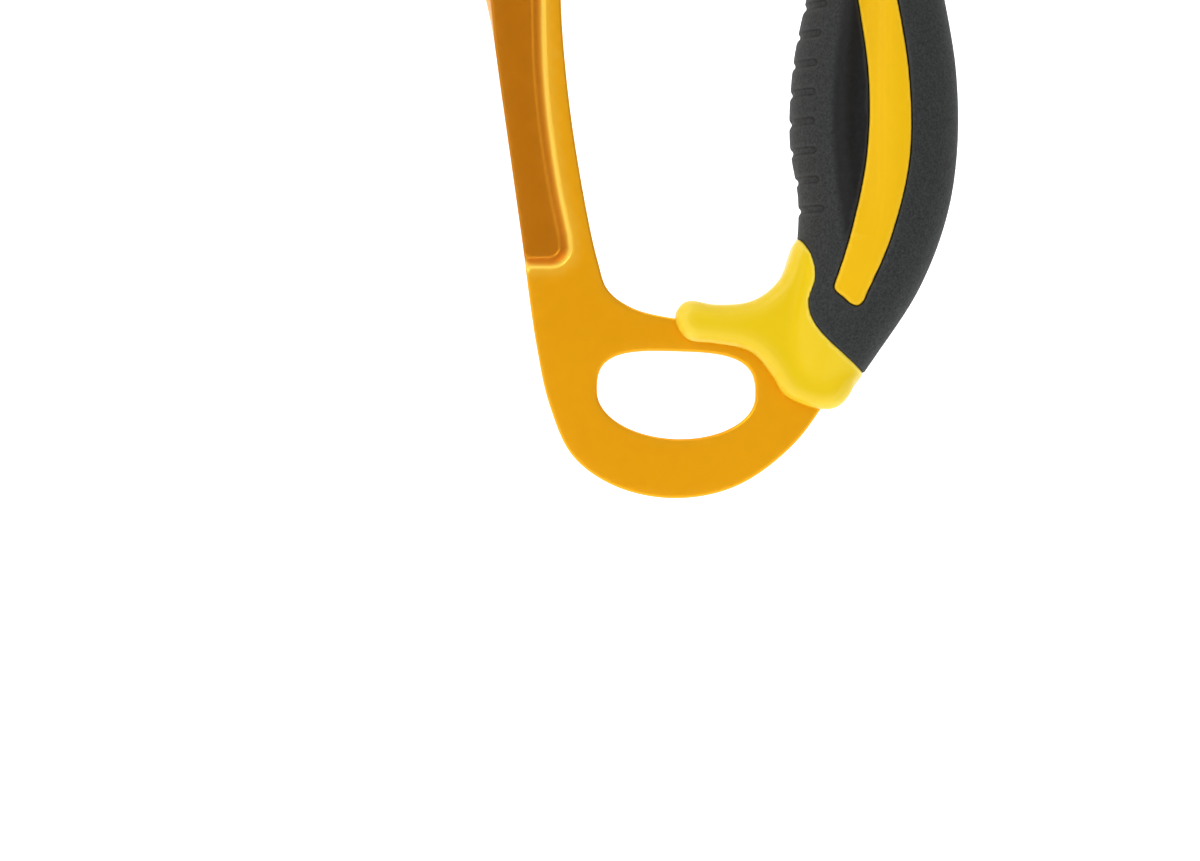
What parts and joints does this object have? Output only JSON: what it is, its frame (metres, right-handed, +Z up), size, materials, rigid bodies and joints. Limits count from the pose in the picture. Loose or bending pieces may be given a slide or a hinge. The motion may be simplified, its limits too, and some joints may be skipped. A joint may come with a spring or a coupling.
{
  "type": "handled rope ascender",
  "caption": "Hand-held rope clamp: bent aluminium frame with a rope channel, sprung toothed cam with safety catch, moulded hand grip and connector holes.",
  "frame": {"origin": "on the rope's axis in the channel, at the height where the cam clamps an 11 mm rope", "axes": "+Z up along the rope, towards the channel's top; +X from the rope towards the hand grip; +Y towards the back of the frame, away from the cam"},
  "size_m": [0.0893, 0.0292, 0.1998],
  "materials": {
    "anodised_gold": "satin gold anodised",
    "yellow_plastic": "smooth moulded, satin",
    "stripe_plastic": "smooth moulded, satin",
    "core_nylon": "moulded",
    "grip_rubber": "matt with a fine grain",
    "cam_steel": "blasted stainless steel",
    "axle_steel": "turned stainless steel",
    "bush_bronze": "sintered bronze",
    "spring_steel": "drawn wire",
    "pad_plastic": "moulded with ribs"
  },
  "bodies": {
    "frame_body": {"frame": "anodised_gold", "lower_guard": "yellow_plastic", "upper_guard": "yellow_plastic", "grip_core": "core_nylon", "grip_rubber": "grip_rubber", "grip_stripe_front": "stripe_plastic", "grip_stripe_back": "stripe_plastic", "cam_axle": "axle_steel", "cam_washer": "axle_steel", "cam_axle_ring": "axle_steel", "cam_spring": "spring_steel"},
    "cam_body": {"cam": "cam_steel", "cam_bush": "bush_bronze", "catch_axle": "axle_steel", "catch_axle_ring": "axle_steel", "catch_spring": "spring_steel"},
    "catch_body": {"catch_lever": "cam_steel", "catch_pad": "pad_plastic"}
  },
  "joints": [
    {"name": "cam_swing", "type": "hinge", "parent": "frame_body", "child": "cam_body", "pos_m": [0.022, 0, 0.0095], "axis": [0, -1, 0], "range_deg": [-36, 48], "stiffness_Nm_per_rad": 0.03, "springref_deg": -48.7, "deforming": ["cam_spring"]},
    {"name": "catch_press", "type": "hinge", "parent": "cam_body", "child": "catch_body", "pos_m": [0.025, 0, -0.0085], "axis": [0, -1, 0], "range_deg": [0, 25], "stiffness_Nm_per_rad": 0.01, "springref_deg": -34.38, "deforming": ["catch_spring"]}
  ]
}
